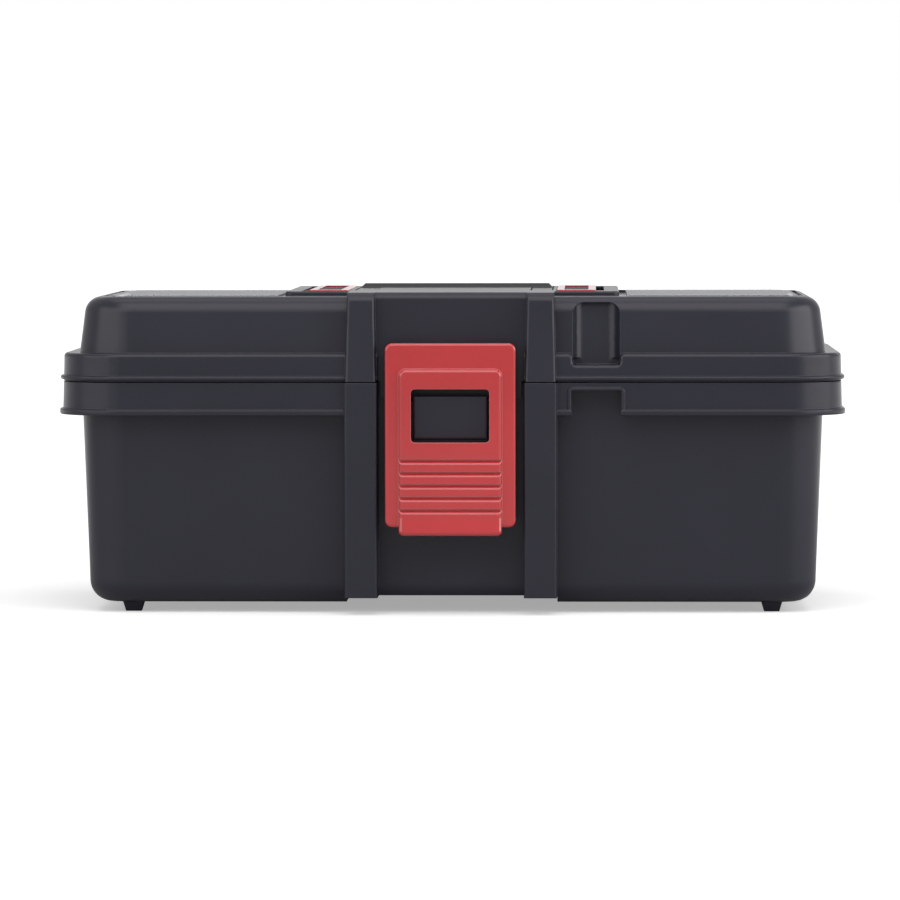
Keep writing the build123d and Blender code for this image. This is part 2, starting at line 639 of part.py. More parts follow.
def make_lid_shell():
    flange = slab(LID_FLANGE_WIDTH, LID_FLANGE_DEPTH, FLANGE_CORNER, LID_Z, LID_SHELF_Z, FLANGE_DRAFT)
    flange -= block(
        PADLOCK_X - PADLOCK_MOUTH / 2,
        PADLOCK_X + PADLOCK_MOUTH / 2,
        -OUTSIDE,
        -DOME_DEPTH / 2 + PADLOCK_DEPTH,
        LID_Z + PADLOCK_LEDGE,
        ABOVE,
    )
    gap_reach = PADLOCK_MOUTH / 2 + 2 * PADLOCK_LEDGE_CORNER
    in_gap = lambda edge: abs(edge.center().X - PADLOCK_X) < gap_reach and edge.center().Y < 0
    flange = fillet(flange.edges().filter_by(Axis.Y).filter_by(in_gap), PADLOCK_LEDGE_CORNER)
    gap_rim = flange.faces().sort_by(Axis.Y)[0].edges().filter_by(in_gap)
    top_rim = flange.edges().group_by(Axis.Z)[-1].filter_by(lambda edge: not in_gap(edge))
    flange = fillet(gap_rim + top_rim, LID_FLANGE_ROUND)
    flange += bead(
        LID_FLANGE_WIDTH + 2 * LIP_OUT,
        LID_FLANGE_DEPTH + 2 * LIP_OUT,
        FLANGE_CORNER + LIP_OUT,
        LID_Z + LID_LIP_RAISE,
        LID_LIP_HEIGHT,
    )
    flange -= block(-STRAP_INNER, STRAP_INNER, -OUTSIDE, PANEL_Y, 0, ABOVE)

    dome_z = LID_SHELF_Z - FLANGE_WALL
    dome = slab(DOME_WIDTH, DOME_DEPTH, DOME_CORNER, dome_z, LID_TOP_Z, DOME_DRAFT)
    dome = fillet(dome.edges().group_by(Axis.Z)[-1], DOME_ROUND)

    middle = (PLATEAU_BACK - PLATEAU_FRONT) / 2
    plateau_depth = PLATEAU_BACK + PLATEAU_FRONT
    plateau = slab(2 * PLATEAU_HALF, plateau_depth, PLATEAU_CORNER, LID_TOP_Z - WALL, PLATEAU_Z)
    plateau = fillet(plateau.edges().group_by(Axis.Z)[-1], PLATEAU_ROUND)
    plateau = Pos(0, middle, 0) * plateau

    strap_edge = STRAP_INNER + STRAP_WIDTH - STRAP_LID_STEP - STRAP_LID_TAPER
    panel = block(-strap_edge, strap_edge, PANEL_Y, -PLATEAU_FRONT + PLATEAU_CORNER, LID_Z, PLATEAU_Z)
    panel_edge = panel.edges().filter_by(Axis.X).group_by(Axis.Z)[-1].sort_by(Axis.Y)[0]
    panel = fillet(panel_edge, PANEL_ROUND)
    strap = lid_strap(0, LID_Z, PLATEAU_Z) & strap_crown()
    outer = flange + dome + plateau + panel + both_sides(strap)

    cavity = slab(
        LID_FLANGE_WIDTH - 2 * FLANGE_WALL,
        LID_FLANGE_DEPTH - 2 * FLANGE_WALL,
        FLANGE_CORNER - FLANGE_WALL,
        LID_Z,
        dome_z,
        FLANGE_DRAFT,
    )
    cavity -= block(-strap_edge - WALL, strap_edge + WALL, -OUTSIDE, PANEL_Y + WALL, 0, ABOVE)
    inner_dome = slab(
        DOME_WIDTH - 2 * WALL, DOME_DEPTH - 2 * WALL, DOME_CORNER - WALL, LID_Z, LID_TOP_Z - WALL, DOME_DRAFT
    )
    cavity += fillet(inner_dome.edges().group_by(Axis.Z)[-1], DOME_ROUND - WALL)
    cavity += Pos(0, middle, 0) * slab(
        2 * (PLATEAU_HALF - WALL), plateau_depth - 2 * WALL, PLATEAU_CORNER, LID_SHELF_Z, PLATEAU_Z - WALL
    )
    for shape in (cover_well(WALL), cover_recess(WALL), cover_trough(WALL), lock_pocket(WALL)):
        cavity -= both_sides(shape)
    pin_bank = COVER_BARREL_LENGTH / 2 + TROUGH_GAP + COVER_PIN_SEAT + WALL
    bank_half = COVER_BARREL_RADIUS + TROUGH_GAP
    bank = block(
        COVER_AXIS - bank_half, COVER_AXIS + bank_half, -pin_bank, pin_bank, COVER_Z - bank_half, ABOVE
    )
    boss_end = HANDLE_POCKET_HALF + HANDLE_PIN_SEAT + WALL
    boss = block(
        HANDLE_POCKET_HALF,
        boss_end,
        HANDLE_AXIS_Y - HANDLE_BOSS,
        HANDLE_AXIS_Y + HANDLE_BOSS,
        HANDLE_AXIS_Z - HANDLE_BOSS,
        ABOVE,
    )
    cavity -= both_sides(bank) + handle_pocket(WALL) + both_sides(boss)
    cavity -= padlock_channel(WALL)
    ledge_half = PADLOCK_MOUTH / 2 + WALL
    ledge_back = -DOME_DEPTH / 2 + PADLOCK_DEPTH + WALL
    cavity -= block(
        PADLOCK_X - ledge_half,
        PADLOCK_X + ledge_half,
        -OUTSIDE,
        ledge_back,
        LID_Z,
        LID_Z + PADLOCK_LEDGE,
    )

    body = outer - cavity - padlock_channel(0)
    for shape in (cover_well(0), cover_recess(0), cover_trough(0), lock_pocket(0)):
        body -= both_sides(shape)
    body -= handle_pocket(0)
    body -= both_sides(lid_strap(WALL, LID_Z, PLATEAU_Z - WALL))

    cell = WELL_DEPTH / WELL_CELLS
    for index in range(1, WELL_CELLS):
        y = cell * index - WELL_DEPTH / 2
        wall = block(
            WELL_INNER - WALL / 2,
            WELL_INNER + WELL_WIDTH + WALL / 2,
            y - PARTITION / 2,
            y + PARTITION / 2,
            WELL_Z - WALL / 2,
            COVER_SEAT_Z - PARTITION_GAP,
        )
        body += both_sides(wall)

    apron = STRAP_INNER - APRON_GAP
    body += block(-apron, apron, PANEL_Y, PANEL_Y + APRON_WALL, RIM_HEIGHT - APRON_DROP, LID_Z + WALL)

    lug_inner = LATCH_BARREL_WIDTH / 2 + LATCH_LUG_GAP
    lug_outer = lug_inner + LATCH_LUG_WIDTH
    lug = rod_x(lug_inner, lug_outer, LATCH_AXIS_Y, LATCH_AXIS_Z, LATCH_BARREL_RADIUS)
    lug += block(
        lug_inner,
        lug_outer,
        LATCH_AXIS_Y,
        PANEL_Y + WALL / 2,
        LATCH_AXIS_Z - LATCH_BARREL_RADIUS,
        LATCH_AXIS_Z + LATCH_BARREL_RADIUS,
    )
    body += both_sides(lug)
    body -= rod_x(-lug_outer, lug_outer, LATCH_AXIS_Y, LATCH_AXIS_Z, LATCH_PIN_RADIUS + PIN_FIT)

    for x in hinge_places():
        body += hinge_knuckle(x - HINGE_LID_KNUCKLE / 2, x + HINGE_LID_KNUCKLE / 2, 1)
    body -= rod_x(-LIP_WIDTH / 2, LIP_WIDTH / 2, HINGE_Y, HINGE_Z, HINGE_PIN_RADIUS + PIN_FIT)

    pin_end = COVER_BARREL_LENGTH / 2 + TROUGH_GAP + COVER_PIN_SEAT + PIN_FIT
    body -= both_sides(rod_y(COVER_AXIS, -pin_end, pin_end, COVER_Z, COVER_PIN_RADIUS + PIN_FIT))
    seat_end = HANDLE_POCKET_HALF + HANDLE_PIN_SEAT + PIN_FIT
    seat = rod_x(HANDLE_WIDTH / 2, seat_end, HANDLE_AXIS_Y, HANDLE_AXIS_Z, HANDLE_PIN_RADIUS + PIN_FIT)
    body -= both_sides(seat)
    return body - padlock_hole(0, LID_SHELF_Z)


def make_hinge_pin(x):
    half = HINGE_LID_KNUCKLE / 2 + HINGE_GAP + HINGE_BASE_KNUCKLE
    pin = rod_x(x - half, x + half, HINGE_Y, HINGE_Z, HINGE_PIN_RADIUS)
    return pin + rod_x(x + half, x + half + PIN_HEAD, HINGE_Y, HINGE_Z, PIN_HEAD_RADIUS)


def make_latch():
    plate = front_plate(LATCH_WIDTH, LATCH_TOP - LATCH_LENGTH, LATCH_TOP, LATCH_CORNER, LATCH_BACK, LATCH_FRONT)
    plate = fillet(plate.faces().sort_by(Axis.Y)[0].edges(), LATCH_EDGE_ROUND)
    raised_front = LATCH_FRONT - LATCH_RAISE
    raised_top = LATCH_TOP - LATCH_RAISE_DROP
    raised_bottom = LATCH_TOP - LATCH_LENGTH - LATCH_TAIL
    crease = raised_bottom + LATCH_TAIL_HEIGHT
    profile = [
        (LATCH_BACK, raised_bottom),
        (LATCH_BACK, raised_top),
        (raised_front, raised_top),
        (raised_front, crease),
        (raised_front - LATCH_TAIL_FLARE, raised_bottom),
    ]
    raised = side_prism(profile, -LATCH_RAISE_WIDTH / 2, LATCH_RAISE_WIDTH / 2)
    raised = fillet(raised.edges().filter_by(Axis.Y).group_by(Axis.Z)[-1], LATCH_CORNER)
    raised = fillet(raised.edges().filter_by(Axis.Y).group_by(Axis.Z)[0], LATCH_TAIL_CORNER)
    front_faces = raised.faces().sort_by(Axis.Y)[:2]
    rim = front_faces.edges().filter_by(lambda edge: abs(edge.center().Z - crease) > LATCH_RAISE_ROUND)
    body = plate + fillet(rim, LATCH_RAISE_ROUND)

    for index in range(GROOVE_COUNT):
        top = LATCH_TOP - GROOVE_FIRST_DROP - index * GROOVE_PITCH
        points = [
            (-OUTSIDE, top),
            (raised_front + GROOVE_DEPTH, top),
            (raised_front + GROOVE_DEPTH, top - GROOVE_FLAT),
            (raised_front, top - GROOVE_HEIGHT),
            (-OUTSIDE, top - GROOVE_HEIGHT),
        ]
        body -= side_prism(points, -LATCH_WIDTH / 2, LATCH_WIDTH / 2)

    body -= front_plate(
        WINDOW_WIDTH, WINDOW_BOTTOM, WINDOW_TOP, WINDOW_CORNER, LATCH_BACK + LATCH_PLATE, -OUTSIDE
    )
    half = LATCH_BARREL_WIDTH / 2
    body += rod_x(-half, half, LATCH_AXIS_Y, LATCH_AXIS_Z, LATCH_BARREL_RADIUS)
    body += block(
        -half,
        half,
        LATCH_BACK - LATCH_PLATE / 2,
        LATCH_AXIS_Y,
        LATCH_AXIS_Z - LATCH_BARREL_RADIUS,
        LATCH_AXIS_Z + LATCH_BARREL_RADIUS,
    )
    return body - rod_x(-half, half, LATCH_AXIS_Y, LATCH_AXIS_Z, LATCH_PIN_RADIUS + PIN_FIT)


def make_latch_pin():
    half = LATCH_BARREL_WIDTH / 2 + LATCH_LUG_GAP + LATCH_LUG_WIDTH
    return rod_x(-half, half, LATCH_AXIS_Y, LATCH_AXIS_Z, LATCH_PIN_RADIUS)


def make_handle():
    half = HANDLE_WIDTH / 2
    inner = half - HANDLE_ARM
    grip_top = PLATEAU_Z + GRIP_RISE
    grip_bottom = grip_top - GRIP_HEIGHT

    outline = [
        (-half, grip_bottom),
        (half, grip_bottom),
        (half, grip_top - GRIP_SHOULDER),
        (half - GRIP_SHOULDER, grip_top),
        (GRIP_SHOULDER - half, grip_top),
        (-half, grip_top - GRIP_SHOULDER),
    ]
    grip = front_prism(outline, GRIP_FRONT, GRIP_BACK)
    long_edges = grip.edges().filter_by(Axis.X)
    top_edges = long_edges.group_by(Axis.Z)[-1]
    bottom_edges = long_edges.group_by(Axis.Z)[0]
    grip = fillet(top_edges + bottom_edges, GRIP_ROUND)

    arm_bottom = HANDLE_ARM_Z - HANDLE_ARM_HEIGHT
    arm = block(inner, half, HANDLE_AXIS_Y, GRIP_FRONT + GRIP_ROUND, arm_bottom, HANDLE_ARM_Z)
    arm += rod_x(inner, half, HANDLE_AXIS_Y, HANDLE_AXIS_Z, HANDLE_HUB_RADIUS)
    body = grip + both_sides(arm)
    pin_inner = half - HANDLE_PIN_GRIP - PIN_FIT
    hole = rod_x(pin_inner, half, HANDLE_AXIS_Y, HANDLE_AXIS_Z, HANDLE_PIN_RADIUS + PIN_FIT)
    return body - both_sides(hole)


def make_handle_pin():
    inner = HANDLE_WIDTH / 2 - HANDLE_PIN_GRIP
    outer = HANDLE_POCKET_HALF + HANDLE_PIN_SEAT
    return rod_x(inner, outer, HANDLE_AXIS_Y, HANDLE_AXIS_Z, HANDLE_PIN_RADIUS)


def make_cover():
    """Right-hand clear cover."""
    half = COVER_DEPTH / 2
    width = COVER_PLATE_OUTER - COVER_PLATE_INNER
    top = COVER_Z + COVER_THICK
    plate = slab(width, COVER_DEPTH, COVER_CORNER, COVER_Z, top)
    plate = fillet(plate.edges().group_by(Axis.Z)[-1], COVER_EDGE_ROUND)
    body = Pos(COVER_PLATE_INNER + width / 2, 0, 0) * plate
    lip_end = COVER_PLATE_INNER + COVER_CORNER
    lip_half = half - COVER_CORNER
    body += block(COVER_INNER, lip_end, -lip_half, lip_half, COVER_Z, COVER_Z + COVER_LIP_THICK)

    barrel = COVER_BARREL_LENGTH / 2
    body += rod_y(COVER_AXIS, -barrel, barrel, COVER_Z, COVER_BARREL_RADIUS)
    web_inner = COVER_PLATE_OUTER - COVER_CORNER
    body += block(web_inner, COVER_AXIS, -barrel, barrel, COVER_Z, COVER_Z + COVER_BARREL_RADIUS)

    rib_outer = WELL_DEPTH / 2 - 2 * COVER_GAP
    rib_x0 = WELL_INNER + WELL_CORNER
    rib_x1 = WELL_INNER + WELL_WIDTH - WELL_CORNER
    for side in (-1, 1):
        ends = sorted((side * rib_outer, side * (rib_outer - COVER_RIB)))
        body += block(rib_x0, rib_x1, ends[0], ends[1], COVER_Z - COVER_RIB_DROP, COVER_Z + COVER_RIB)
    return body - rod_y(COVER_AXIS, -barrel, barrel, COVER_Z, COVER_PIN_RADIUS + PIN_FIT)


def make_cover_pin():
    end = COVER_BARREL_LENGTH / 2 + TROUGH_GAP + COVER_PIN_SEAT
    return rod_y(COVER_AXIS, -end, end, COVER_Z, COVER_PIN_RADIUS)


def make_lock():
    """Right-hand slide lock, drawn open."""
    plate_top = LOCK_Z + LOCK_PLATE
    frame = slab(LOCK_WIDTH, LOCK_LENGTH, LOCK_CORNER, LOCK_Z, LOCK_TOP_Z)
    frame = fillet(frame.edges().group_by(Axis.Z)[-1], LOCK_EDGE_ROUND)
    frame -= block(-PAD_WIDTH / 2, PAD_WIDTH / 2, -PAD_LENGTH / 2, PAD_LENGTH / 2, plate_top, ABOVE)
    body = Pos(LOCK_INNER + LOCK_WIDTH / 2, LOCK_MID_Y, 0) * frame
    rail = LOCK_LENGTH / 2 + LOCK_TAB
    body += block(LOCK_INNER, LOCK_OUTER, LOCK_MID_Y - rail, LOCK_MID_Y + rail, LOCK_Z, plate_top)
    slot = LOCK_TONGUE / 2
    tip = PLATEAU_HALF - LOCK_TONGUE_SETBACK
    return body + block(LOCK_INNER, tip, LOCK_MID_Y - slot, LOCK_MID_Y + slot, LOCK_Z, plate_top)


def make_lock_pad():
    """Ribbed finger pad set in the right-hand slide lock."""
    width = PAD_WIDTH - 2 * PAD_FIT
    length = PAD_LENGTH - 2 * PAD_FIT
    floor = LOCK_Z + LOCK_PLATE
    top = LOCK_TOP_Z - PAD_SINK
    body = block(-width / 2, width / 2, -length / 2, length / 2, floor, top)
    pitch = length / PAD_RIBS
    rib = PAD_RIB_WIDTH / 2
    for index in range(PAD_RIBS):
        y = pitch * index + (pitch - length) / 2
        body += block(-width / 2, width / 2, y - rib, y + rib, floor, top + PAD_RIB_HEIGHT)
    return Pos(LOCK_INNER + LOCK_WIDTH / 2, LOCK_MID_Y, 0) * body


def make_tray():
    body_width = TRAY_WIDTH - 2 * TRAY_END_FLANGE
    body_depth = TRAY_DEPTH - 2 * TRAY_SIDE_FLANGE
    bottom = TRAY_Z - TRAY_HEIGHT
    body = sunk_slab(body_width, body_depth, TRAY_CORNER, TRAY_Z, bottom, TRAY_DRAFT)
    body = fillet(body.edges().group_by(Axis.Z)[0], TRAY_ROUND)
    body += slab(TRAY_WIDTH, TRAY_DEPTH, TRAY_CORNER, TRAY_SEAT_Z, TRAY_Z)
    hollow = sunk_slab(
        body_width - 2 * TRAY_WALL,
        body_depth - 2 * TRAY_WALL,
        TRAY_CORNER - TRAY_WALL,
        TRAY_Z,
        bottom + TRAY_WALL,
        TRAY_DRAFT,
    )
    hollow = fillet(hollow.edges().group_by(Axis.Z)[0], TRAY_ROUND - TRAY_WALL)
    half = TRAY_WALL / 2
    spine = block(-OUTSIDE, OUTSIDE, -half, half, 0, TRAY_Z)
    cross = block(TRAY_CROSS_X - half, TRAY_CROSS_X + half, -OUTSIDE, 0, 0, TRAY_Z)
    body -= hollow - spine - both_sides(cross)

    grip_top = TRAY_Z + TRAY_GRIP_RISE
    grip = front_plate(TRAY_GRIP_WIDTH, bottom + TRAY_WALL, grip_top, TRAY_GRIP_CORNER, half, -half)
    bar = front_plate(
        TRAY_GRIP_WIDTH - 2 * TRAY_GRIP_CORNER,
        grip_top - TRAY_GRIP_BAR,
        grip_top,
        TRAY_WALL,
        2 * TRAY_WALL,
        -2 * TRAY_WALL,
    )
    bar = fillet(bar.edges().filter_by(Axis.X), TRAY_WALL / 2)
    slot_top = grip_top - TRAY_GRIP_BAR
    slot = front_plate(
        TRAY_SLOT_WIDTH, slot_top - TRAY_SLOT_HEIGHT, slot_top, TRAY_SLOT_CORNER, OUTSIDE, -OUTSIDE
    )
    return body + grip + bar - slot


NODES = {
    "base_tub": make_base_tub(),
    "lid_shell": make_lid_shell(),
    "hinge_pin_left": make_hinge_pin(hinge_places()[0]),
    "hinge_pin_right": make_hinge_pin(hinge_places()[1]),
    "front_latch": make_latch(),
    "latch_pin": make_latch_pin(),
    "carry_handle": make_handle(),
    "handle_pin_left": other_side(make_handle_pin()),
    "handle_pin_right": make_handle_pin(),
    "cover_left": other_side(make_cover()),
    "cover_right": make_cover(),
    "cover_pin_left": other_side(make_cover_pin()),
    "cover_pin_right": make_cover_pin(),
    "cover_lock_left": other_side(make_lock()),
    "cover_lock_right": make_lock(),
    "lock_pad_left": other_side(make_lock_pad()),
    "lock_pad_right": make_lock_pad(),
    "tray": make_tray(),
}

os.makedirs("parts", exist_ok=True)
for name, shape in NODES.items():
    export_step(shape, "parts/" + name + ".step")
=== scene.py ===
import json

import bpy
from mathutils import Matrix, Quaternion, Vector

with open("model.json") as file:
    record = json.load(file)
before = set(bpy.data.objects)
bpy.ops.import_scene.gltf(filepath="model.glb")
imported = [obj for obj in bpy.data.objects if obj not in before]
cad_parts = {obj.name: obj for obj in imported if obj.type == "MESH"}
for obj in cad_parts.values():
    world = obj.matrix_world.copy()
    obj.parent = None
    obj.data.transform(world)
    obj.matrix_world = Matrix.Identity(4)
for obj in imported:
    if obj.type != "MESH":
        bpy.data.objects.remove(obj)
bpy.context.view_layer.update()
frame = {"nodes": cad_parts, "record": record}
NODES = frame["nodes"]

# Lengths are in metres, in the frame of the part: the front faces -Y and the feet stand on Z = 0.
MM = 0.001

# The photograph's view: a long lens, a little above the lid and almost square to the front
CAMERA_PLACE = Vector((0.055, -2.152, 0.173))
CAMERA_TARGET = Vector((-0.0008, -0.052, 0.0642))
CAMERA_ROLL = -0.00127        # radians; levels the front, which is seen a little from its right
CAMERA_LENS = 211.74
CAMERA_REACH = 100.0          # past the far edge of the floor

# Colours, linear
WHITE = (1.0, 1.0, 1.0)
SHELL_BLACK = (0.0200, 0.0197, 0.0310)
TRAY_BLACK = (0.0200, 0.0200, 0.0235)
HANDLE_BLACK = (0.0130, 0.0130, 0.0150)
LATCH_RED = (0.520, 0.027, 0.031)
# pale pink of the latch's edges: painted highlight
LATCH_EDGE_HIGHLIGHT = (0.78, 0.22, 0.22)
# darker copy of the latch red for the slide locks: painted shade
SHADED_LOCK_RED = (0.400, 0.024, 0.028)
PIN_STEEL = (0.52, 0.53, 0.55)
# pale tint of the covers, partly a painted reflection of the white behind them
COVER_TINT_AND_REFLECTION = (0.50, 0.53, 0.60)
FLOOR_PALE = (0.86, 0.86, 0.86)
FLOOR_DIM = (0.52, 0.52, 0.52)   # the floor as the part sees it, in a room darker than the backdrop

# Moulded plastic
CLOUD_SCALE = 28.0
CLOUD_DETAIL = 3.0
CLOUD_RANGE = (0.1, 0.9)      # values of the cloud noise that its effects are spread over
CLOUD_SHADE = (0.88, 1.12)    # darkest and palest tone
CLOUD_ROUGHNESS = 0.03        # either side of the plastic's own
EDGE_SAMPLES = 6
EDGE_TURN = (0.75, 0.995)     # cosine between the softened and the true normal, on an edge and beside it
EDGE_HIGHLIGHT_TONE = 1.45               # tone of an edge painted paler, a painted highlight
GRAIN_DETAIL = 1.0
GRAIN_DEPTH = 0.006 * MM
TRAY_GRAIN_DEPTH = 0.018 * MM
GRAIN_STRENGTH = 0.5
COAT_ROUGHNESS = 0.1

# Clear covers
COVER_ALPHA = (0.15, 0.38)    # seen square on, and along the surface
COVER_ALPHA_TURN = (0.5, 0.95)   # how far it is turned away where one passes into the other
COVER_MARK_SCALE = 160.0
COVER_MARK_DETAIL = 4.0
COVER_MARK_STRETCH = (1.0, 6.0, 1.0)
COVER_ROUGHNESS = (0.06, 0.09)
COVER_RIPPLE_SCALE = 22.0
COVER_RIPPLE_SHADE = 0.95

# Steel pins
WIRE_SCALE = 900.0
WIRE_DETAIL = 3.0
WIRE_STRETCH = (0.03, 1.0, 1.0)
WIRE_SHADE = 0.82
WIRE_ROUGHNESS = (0.26, 0.42)
WIRE_DEPTH = 0.02 * MM
WIRE_STRENGTH = 0.4

# Studio
BACKDROP_LIGHT = 1.0          # white to the camera
ROOM_LIGHT = 0.41             # even light on the part
ROOM_GLOSS = (0.42, 1.0)      # the room before the part and the white behind it, seen in gloss
ROOM_TURN = (0.82, 0.97)      # where one passes into the other, along Y
FLOOR_SIZE = 60.0
FLOOR_ROUGHNESS = 0.9
FLOOR_TURN = (0.1, 0.8)       # where the floor passes into the lit backdrop, along Y
FLOOR_GLOW = (0.37, 0.80)     # beside the part, and far from it
FLOOR_GLOW_REACH = (0.4, 2.5)    # how far from the middle one passes into the other
LAMP_TARGET = Vector((0.0, 0.0, 0.07))

# Each lamp's name, place, width and height, and power in watts
LAMPS = (
    ("key", Vector((0.1, -1.35, 1.85)), (2.2, 2.0), 22.0),
    ("top", Vector((0.0, 0.3, 1.7)), (1.6, 1.0), 4.0),
    ("left", Vector((-1.6, -1.25, 0.75)), (2.4, 1.4), 13.5),
    ("right", Vector((1.9, -0.6, 0.75)), (2.4, 1.4), 25.0),
)

# Ranges and sockets of the nodes
FULL_RANGE = (0.0, 1.0)
NOISE_RANGE = (0.3, 0.7)      # where most values of a noise lie
COLOUR_INPUTS = (6, 7)        # of a Mix node for colours
COLOUR_OUTPUT = 2
NUMBER_INPUTS = (2, 3)        # of a Mix node for numbers
NUMBER_OUTPUT = 0


class Tree:
    """Short names for building the nodes of a material or of the world."""

    def __init__(self, owner, shader, coordinates):
        owner.use_nodes = True
        self.owner = owner
        self.nodes = owner.node_tree.nodes
        self.links = owner.node_tree.links
        self.shader = self.nodes[shader]
        self.place = self.add("ShaderNodeTexCoord").outputs[coordinates]

    def add(self, kind, **values):
        node = self.nodes.new(kind)
        for key, value in values.items():
            setattr(node, key, value)
        return node

    def join(self, source, target):
        self.links.new(source, target)

    def fix(self, socket, value):
        """Sets one of the shader's own sockets."""
        self.shader.inputs[socket].default_value = value

    def feed(self, socket, source):
        """Links a source to one of the shader's own sockets."""
        self.join(source, self.shader.inputs[socket])

    def noise(self, scale, detail=2.0, stretch=None):
        node = self.add("ShaderNodeTexNoise")
        node.inputs["Scale"].default_value = scale
        node.inputs["Detail"].default_value = detail
        place = self.place
        if stretch:
            mapping = self.add("ShaderNodeMapping")
            mapping.inputs["Scale"].default_value = stretch
            self.join(place, mapping.inputs["Vector"])
            place = mapping.outputs["Vector"]
        self.join(place, node.inputs["Vector"])
        return node.outputs["Fac"]

    def along_y(self):
        """How far along Y the place is."""
        axes = self.add("ShaderNodeSeparateXYZ")
        self.join(self.place, axes.inputs["Vector"])
        return axes.outputs["Y"]

    def distance(self):
        """How far the place is from the middle."""
        node = self.add("ShaderNodeVectorMath", operation="LENGTH")
        self.join(self.place, node.inputs[0])
        return node.outputs["Value"]

    def rays(self, *kinds):
        """1 for rays of the named kinds."""
        path = self.add("ShaderNodeLightPath")
        seen = path.outputs[kinds[0]]
        for kind in kinds[1:]:
            seen = self.reckon("MAXIMUM", seen, path.outputs[kind])
        return seen

    def reckon(self, operation, first, second):
        """What a math operation makes of two sockets."""
        node = self.add("ShaderNodeMath", operation=operation)
        self.join(first, node.inputs[0])
        self.join(second, node.inputs[1])
        return node.outputs["Value"]

    def span(self, value, target, source=NOISE_RANGE):
        """The value, spread from its source range over the target range."""
        node = self.add("ShaderNodeMapRange")
        node.inputs["From Min"].default_value, node.inputs["From Max"].default_value = source
        node.inputs["To Min"].default_value, node.inputs["To Max"].default_value = target
        self.join(value, node.inputs["Value"])
        return node.outputs["Result"]

    def blend(self, amount, first, second):
        """Colour between two colours, each a tuple or a socket."""
        node = self.add("ShaderNodeMix", data_type="RGBA")
        self.join(amount, node.inputs["Factor"])
        for number, colour in zip(COLOUR_INPUTS, (first, second)):
            if isinstance(colour, tuple):
                node.inputs[number].default_value = (*colour, 1.0)
            else:
                self.join(colour, node.inputs[number])
        return node.outputs[COLOUR_OUTPUT]

    def between(self, amount, first, second):
        """Number between two numbers, each a constant or a socket."""
        node = self.add("ShaderNodeMix")
        self.join(amount, node.inputs["Factor"])
        for number, value in zip(NUMBER_INPUTS, (first, second)):
            if isinstance(value, float):
                node.inputs[number].default_value = value
            else:
                self.join(value, node.inputs[number])
        return node.outputs[NUMBER_OUTPUT]

    def bump(self, height, depth, strength, under=None):
        node = self.add("ShaderNodeBump")
        node.inputs["Distance"].default_value = depth
        node.inputs["Strength"].default_value = strength
        self.join(height, node.inputs["Height"])
        if under:
            self.join(under, node.inputs["Normal"])
        return node.outputs["Normal"]

    def rounded(self, radius):
        """Normal that softens sharp edges."""
        node = self.add("ShaderNodeBevel", samples=EDGE_SAMPLES)
        node.inputs["Radius"].default_value = radius
        return node.outputs["Normal"]

    def edges(self, normal):
        """1 on edges, 0 on flat faces."""
        flat = self.add("ShaderNodeNewGeometry").outputs["Normal"]
        dot = self.add("ShaderNodeVectorMath", operation="DOT_PRODUCT")
        self.join(flat, dot.inputs[0])
        self.join(normal, dot.inputs[1])
        return self.span(dot.outputs["Value"], (1.0, 0.0), EDGE_TURN)


def material_tree(name):
    return Tree(bpy.data.materials.new(name), "Principled BSDF", "Object")


def shade(colour, factor):
    return tuple(channel * factor for channel in colour)


def moulded(name, colour, edge_highlight, roughness, gloss, grain, grain_depth, edge_radius, polish=0.0):
    """Moulded plastic: cloudy tone, fine spark-eroded grain, and edges painted paler as a painted
    highlight.
    """
    tree = material_tree(name)
    cloud = tree.noise(CLOUD_SCALE, CLOUD_DETAIL)
    dark, pale = (shade(colour, factor) for factor in CLOUD_SHADE)
    tone = tree.blend(tree.span(cloud, FULL_RANGE, CLOUD_RANGE), dark, pale)
    soft = tree.rounded(edge_radius)
    # Painted highlight: the edges are painted paler than the face.
    tree.feed("Base Color", tree.blend(tree.edges(soft), tone, edge_highlight))
    rough = (roughness - CLOUD_ROUGHNESS, roughness + CLOUD_ROUGHNESS)
    tree.feed("Roughness", tree.span(cloud, rough, CLOUD_RANGE))
    tree.fix("Specular IOR Level", gloss)
    tree.fix("Coat Weight", polish)
    tree.fix("Coat Roughness", COAT_ROUGHNESS)
    grains = tree.noise(grain, GRAIN_DETAIL)
    tree.feed("Normal", tree.bump(grains, grain_depth, GRAIN_STRENGTH, under=soft))
    return tree.owner


def clear_plastic(name):
    """Clear cover: faint uneven tint, fine handling marks, and clearer the squarer it is seen; its pale
    colour shows most along the surface and is partly a painted reflection.
    """
    tree = material_tree(name)
    marks = tree.noise(COVER_MARK_SCALE, COVER_MARK_DETAIL, COVER_MARK_STRETCH)
    tree.feed("Roughness", tree.span(marks, COVER_ROUGHNESS))
    ripple = tree.span(tree.noise(COVER_RIPPLE_SCALE), FULL_RANGE)
    # Pale tint that is partly a painted reflection.
    tree.feed("Base Color", tree.blend(ripple, COVER_TINT_AND_REFLECTION, shade(COVER_TINT_AND_REFLECTION, COVER_RIPPLE_SHADE)))
    facing = tree.add("ShaderNodeLayerWeight").outputs["Facing"]
    tree.feed("Alpha", tree.span(facing, COVER_ALPHA, COVER_ALPHA_TURN))
    return tree.owner


def drawn_steel(name):
    """Drawn wire: fine lines along X, as the pins of the lid, the latch and the handle run."""
    tree = material_tree(name)
    lines = tree.noise(WIRE_SCALE, WIRE_DETAIL, WIRE_STRETCH)
    tone = tree.blend(tree.span(lines, FULL_RANGE), shade(PIN_STEEL, WIRE_SHADE), PIN_STEEL)
    tree.feed("Base Color", tone)
    tree.feed("Roughness", tree.span(lines, WIRE_ROUGHNESS))
    tree.fix("Metallic", 1.0)
    tree.feed("Normal", tree.bump(lines, WIRE_DEPTH, WIRE_STRENGTH))
    return tree.owner


